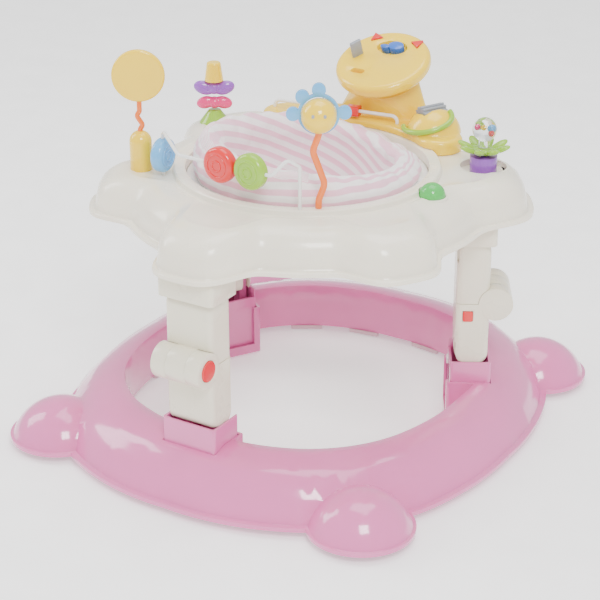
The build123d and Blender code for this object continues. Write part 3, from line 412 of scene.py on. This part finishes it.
def puff(obj, cap):
    """Swell a closed cloth shell under pressure, moving no point further than cap metres."""
    melt = obj.modifiers.new("melt", "REMESH")
    melt.mode = "VOXEL"
    melt.voxel_size = SEAT_VOXEL
    apply_modifiers(obj)
    rest = [vertex.co.copy() for vertex in obj.data.vertices]
    held = obj.vertex_groups.new(name="held")
    held.add([i for i, co in enumerate(rest) if co.z < HELD_BELOW], 1.0, "REPLACE")
    cloth = obj.modifiers.new("cloth", "CLOTH")
    cloth.settings.quality = 5
    cloth.settings.mass = 0.2
    cloth.settings.use_pressure = True
    cloth.settings.uniform_pressure_force = PRESSURE
    cloth.settings.effector_weights.gravity = 0.0
    cloth.settings.vertex_group_mass = "held"
    for frame_number in range(1, LAST_FRAME + 1):
        bpy.context.scene.frame_set(frame_number)
    apply_modifiers(obj)
    bpy.context.scene.frame_set(1)
    for vertex, start in zip(obj.data.vertices, rest):
        moved = vertex.co - start
        if moved.length > cap:
            vertex.co = start + moved * (cap / moved.length)


def paint_stripes(obj):
    """Stripe phase of each point: level outside, slanting across the inside."""
    values = []
    for vertex in obj.data.vertices:
        x, y, z = vertex.co / MM
        angle = degrees(atan2(y, x))
        top = seat_top(angle)
        inside = max(0.0, min(1.0, (148 - hypot(x, y)) / 12))
        along = z * (1 - inside) + (2 * top - z) * inside
        turn = ((angle - SEAT_WRAP) % 360) / 360
        wobble = 1.6 * noise.noise(Vector((x, y, z)) / 35)
        values.append((along + wobble) / STRIPE + 7 * turn * inside)
    attribute = obj.data.attributes.new("stripe", "FLOAT", "POINT")
    attribute.data.foreach_set("value", values)


def make_seat(count=200):
    """Gathered cloth seat, open at the top, with two leg holes."""
    rows = []
    for radius, z in dense_profile(SEAT_PROFILE):
        rows.append([seat_point(360 * k / count + SEAT_WRAP, radius, z) for k in range(count)])
    seat = grid_mesh("seat_fabric", rows, MATERIALS["cloth"])
    puff(seat, PUFF_CAP)
    for place in LEG_HOLES:
        cut_away(seat, rod("cut_leg", place, 38, 232, 285, MATERIALS["cloth"]))
    finer = seat.modifiers.new("finer", "SUBSURF")
    finer.levels = 1
    apply_modifiers(seat)
    seat.data.materials.clear()
    seat.data.materials.append(MATERIALS["cloth"])
    paint_stripes(seat)
    for face in seat.data.polygons:
        face.use_smooth = True
    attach(seat, "seat")
    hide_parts("seat_cloth")
    return seat


# ---- toy details ---------------------------------------------------------
HEAD_BALL = (104.0, -140.0, 507.0)
HEAD_BALL_RADIUS = 23.0
FLOWER_BALL = (203.0, 137.0, 427.0)
HEAD_LOOK = 302.0            # the head toy looks towards the rear right
HEAD_SPOT_RISE = 14          # how far the eyes stand above the ball's middle, in degrees


def shaped_ball(name, centre, size, material, body):
    """Small egg-shaped piece, its three half sizes in millimetres."""
    work = bmesh.new()
    bmesh.ops.create_icosphere(work, subdivisions=3, radius=1.0)
    for vertex in work.verts:
        x, y, z = vertex.co
        vertex.co = Vector((x * size[0], y * size[1], z * size[2] * (1.0 - 0.08 * z))) * MM
    mesh = bpy.data.meshes.new(name)
    work.to_mesh(mesh)
    work.free()
    mesh.materials.append(material)
    for face in mesh.polygons:
        face.use_smooth = True
    obj = bpy.data.objects.new(name, mesh)
    obj.location = Vector(centre) * MM
    bpy.context.scene.collection.objects.link(obj)
    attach(obj, body)
    return obj


def blob(name, parts, material, voxel=0.0011):
    """One soft moulded piece from egg shapes: centre, half sizes, turn about z, tilt.

    Lengths are in millimetres and angles in degrees, but voxel is in metres.
    """
    work = bmesh.new()
    for centre, size, turn, tilt in parts:
        made = bmesh.ops.create_icosphere(work, subdivisions=3, radius=1.0)["verts"]
        place = (Matrix.Translation(Vector(centre) * MM) @ Matrix.Rotation(radians(turn), 4, "Z")
                 @ Matrix.Rotation(radians(-tilt), 4, "Y") @ Matrix.Diagonal((*[v * MM for v in size], 1)))
        bmesh.ops.transform(work, matrix=place, verts=made)
    mesh = bpy.data.meshes.new(name)
    work.to_mesh(mesh)
    work.free()
    obj = bpy.data.objects.new(name, mesh)
    bpy.context.scene.collection.objects.link(obj)
    melt = obj.modifiers.new("melt", "REMESH")
    melt.mode = "VOXEL"
    melt.voxel_size = voxel
    relax = obj.modifiers.new("relax", "SMOOTH")
    relax.iterations = 5
    apply_modifiers(obj)
    obj.data.materials.clear()
    obj.data.materials.append(material)
    for face in obj.data.polygons:
        face.use_smooth = True
    return obj


BUTTERFLY_AT = (-224.0, 100.0)
WING_TURN = 31.8             # the wings spread square to the rear right


def make_wings(name, node, slot, z, size, reach, tilt):
    """A pair of rounded wings on a hub."""
    turn = radians(WING_TURN)
    parts = [((*BUTTERFLY_AT, z), (9, 9, size[2] * 0.95), 0, 0)]
    for side in (-1, 1):
        centre = (BUTTERFLY_AT[0] + side * reach * cos(turn), BUTTERFLY_AT[1] + side * reach * sin(turn), z)
        parts.append((centre, size, WING_TURN, side * tilt))
    wings = blob(name, parts, MATERIALS[slot])
    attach(wings, "butterfly")
    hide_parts(node)


def make_petals(count=8):
    """Leaf petals that splay out round the flower's ball."""
    parts = [((*FLOWER_AT, 396.0), (16, 16, 6), 0, 0)]
    for index in range(count):
        angle = 360.0 * index / count + 12
        x, y = 24 * cos(radians(angle)), 24 * sin(radians(angle))
        parts.append(((FLOWER_AT[0] + x, FLOWER_AT[1] + y, 400.5), (15, 7.5, 4.2), angle, 24))
    petals = blob("flower_leaves", parts, MATERIALS["lime"])
    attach(petals, "flower")
    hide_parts("flower_petals")


def raised_ring(name, centre, normal, radius, tube, material, body):
    """Plain moulded ring standing on a flat face."""
    rows = []
    around, along = 64, 12
    for k in range(along):
        turn = 2 * pi * k / along
        reach = radius + tube * cos(turn)
        rows.append([(reach * cos(2 * pi * i / around), reach * sin(2 * pi * i / around), tube * sin(turn))
                     for i in range(around)])
    ring = grid_mesh(name, rows, material)
    face = Vector(normal).to_track_quat("Z", "Y").to_matrix().to_4x4()
    ring.data.transform(Matrix.Translation(Vector(centre) * MM) @ face)
    smooth(ring, 60)
    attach(ring, body)


# piece, middle in millimetres, normal of its flat faces, half thickness, ring radii, slot
ROUND_FACES = (
    ("paddle", (-193.6, -123.5, 508.0), (0.530, -0.848, 0.0), 2.6, (32.5, 17.0), 1.4, "yellow"),
    ("bead_red", (-23.7, -177.5, 428.8), (-0.077, -0.997, 0.0), 9.0, (15.0, 7.0), 1.3, "red"),
    ("bead_green", (26.7, -181.4, 430.1), (-0.077, -0.997, 0.0), 9.0, (15.0, 7.0), 1.3, "lime"),
    ("bead_blue", (-153.5, -126.6, 403.0), (0.995, 0.105, 0.0), 9.0, (15.0, 7.0), 1.3, "light_blue"),
)


def make_face_rings():
    """Two plain rings on each flat face of the paddle and the beads."""
    for body, middle, normal, half, radii, tube, slot in ROUND_FACES:
        for side in (-1, 1):
            centre = Vector(middle) + Vector(normal) * side * half
            for index, radius in enumerate(radii):
                name = body + "_ring_" + ("near" if side > 0 else "far") + str(index)
                raised_ring(name, centre, normal, radius, tube, MATERIALS[slot], body)


def make_toy_details():
    """Rings, wings, petals, the head's eyes and the balls in the rattle."""
    make_face_rings()
    make_wings("wings_upper", "butterfly_wings_purple", "purple", 426.5, (16, 7, 10.5), 15, 18)
    make_wings("wings_lower", "butterfly_wings_pink", "hot_pink", 404.0, (14, 7, 9.5), 13, -14)
    make_petals()
    for side in (-1, 1):
        turn = radians(HEAD_LOOK + side * 20)
        reach = HEAD_BALL_RADIUS * cos(radians(HEAD_SPOT_RISE)) - 0.5
        place = (HEAD_BALL[0] + reach * cos(turn), HEAD_BALL[1] + reach * sin(turn),
                 HEAD_BALL[2] + HEAD_BALL_RADIUS * sin(radians(HEAD_SPOT_RISE)))
        name = "head_spot_right" if side > 0 else "head_spot_left"
        shaped_ball(name, place, (2.2, 2.2, 2.6), MATERIALS["grey"], "head")
    slots = ("red", "light_blue", "lime", "hot_pink", "yellow")
    for index, slot in enumerate(slots):
        turn = 2 * pi * index / len(slots)
        place = (FLOWER_BALL[0] + 8 * cos(turn), FLOWER_BALL[1] + 8 * sin(turn), FLOWER_BALL[2] - 3 + 2 * index)
        shaped_ball("rattle_" + slot, place, (3.6, 3.6, 3.4), MATERIALS[slot], "flower")


make_tray()
make_console()
make_seat()
make_toy_details()


# ---- stage ---------------------------------------------------------------
def area_light(name, place, target, size, power, color=(1, 1, 1)):
    data = bpy.data.lights.new(name, "AREA")
    data.shape = "RECTANGLE"
    data.size, data.size_y = size
    data.energy = power
    data.color = color
    lamp = bpy.data.objects.new(name, data)
    bpy.context.scene.collection.objects.link(lamp)
    lamp.location = place
    lamp.rotation_euler = (Vector(target) - Vector(place)).to_track_quat("-Z", "Y").to_euler()
    return lamp


def make_stage():
    """Bright floor, white world and three lamps."""
    floor_mesh = bpy.data.meshes.new("floor")
    floor_mesh.from_pydata([(-9, -9, 0), (9, -9, 0), (9, 9, 0), (-9, 9, 0)], [], [(0, 1, 2, 3)])
    floor = bpy.data.objects.new("floor", floor_mesh)
    bpy.context.scene.collection.objects.link(floor)
    floor_mat = new_material("floor", (0.93, 0.93, 0.93), 0.6)
    glow = floor_mat.node_tree.nodes["Principled BSDF"]
    glow.inputs["Emission Color"].default_value = (1, 1, 1, 1)
    glow.inputs["Emission Strength"].default_value = 0.55
    floor_mesh.materials.append(floor_mat)
    world = bpy.data.worlds.new("studio")
    bpy.context.scene.world = world
    world.use_nodes = True
    world.node_tree.nodes["Background"].inputs["Color"].default_value = (1, 1, 1, 1)
    world.node_tree.nodes["Background"].inputs["Strength"].default_value = 1.15
    area_light("key", (1.4, -1.6, 2.3), (0, 0, 0.25), (0.9, 0.9), 62)
    area_light("left", (-2.2, -0.6, 1.7), (0, 0, 0.2), (0.8, 1.6), 30)
    area_light("top", (0, 0.4, 2.6), (0, 0, 0.2), (1.6, 1.6), 34)


def make_camera(azimuth=31.8, elevation=23.5, distance=2.6, target=(0, 0, 0.2)):
    """The fitted camera, with a small shift of the picture."""
    data = bpy.data.cameras.new("camera")
    data.lens = 109.5
    data.sensor_width = 36
    data.shift_x = -0.0123
    data.shift_y = -0.0282
    cam = bpy.data.objects.new("camera", data)
    bpy.context.scene.collection.objects.link(cam)
    a, e = radians(azimuth), radians(elevation)
    away = Vector((sin(a) * cos(e), -cos(a) * cos(e), sin(e)))
    cam.location = Vector(target) + away * distance
    cam.rotation_euler = (-away).to_track_quat("-Z", "Y").to_euler()
    bpy.context.scene.camera = cam


make_stage()
make_camera()
